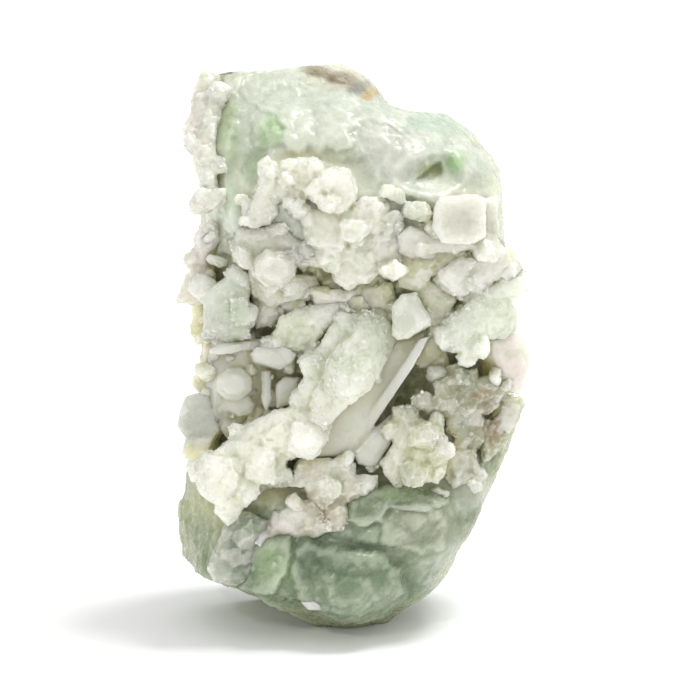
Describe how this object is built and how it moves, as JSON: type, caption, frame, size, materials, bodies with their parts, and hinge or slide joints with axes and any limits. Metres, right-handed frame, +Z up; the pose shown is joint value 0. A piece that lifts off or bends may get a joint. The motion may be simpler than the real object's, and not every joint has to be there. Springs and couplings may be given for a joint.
{
  "type": "mineral specimen",
  "caption": "Upright green prehnite specimen whose front carries pale blocky crystals, a clear prism and sugary druse; it stands on a small flat base.",
  "frame": {"origin": "on the base face that it stands on, under the middle of the specimen", "axes": "+Z up along the specimen, -Y out of the front that carries the crystals, +X to the right of that front"},
  "size_m": [0.063, 0.0479, 0.0995],
  "materials": {
    "green_prehnite": "waxy, broken",
    "pale_green_druse": "sugary druse",
    "white_crystal": "frosty crystals",
    "clear_crystal": "clear, glassy",
    "green_crystal": "clear to cloudy",
    "yellow_green_crystal": "frosty crystals",
    "pink_crystal": "waxy, stained"
  },
  "bodies": {
    "root": {"prehnite_mass": "green_prehnite", "diagonal_blade": "pale_green_druse", "second_blade": "pale_green_druse", "upper_crystal_cluster": "white_crystal", "left_top_crust": "white_crystal", "left_edge_crystals": "white_crystal", "lower_centre_cluster": "white_crystal", "right_block": "white_crystal", "right_tongue": "white_crystal", "right_coat": "white_crystal", "small_white_crystal": "white_crystal", "clear_prism": "clear_crystal", "round_clear_knob": "clear_crystal", "hollow_crystals": "clear_crystal", "centre_block": "green_crystal", "left_column": "green_crystal", "left_tablet": "green_crystal", "lower_left_window": "green_crystal", "right_shelf_crystals": "green_crystal", "lower_right_cluster": "yellow_green_crystal", "pink_knob": "pink_crystal"}
  },
  "joints": []
}
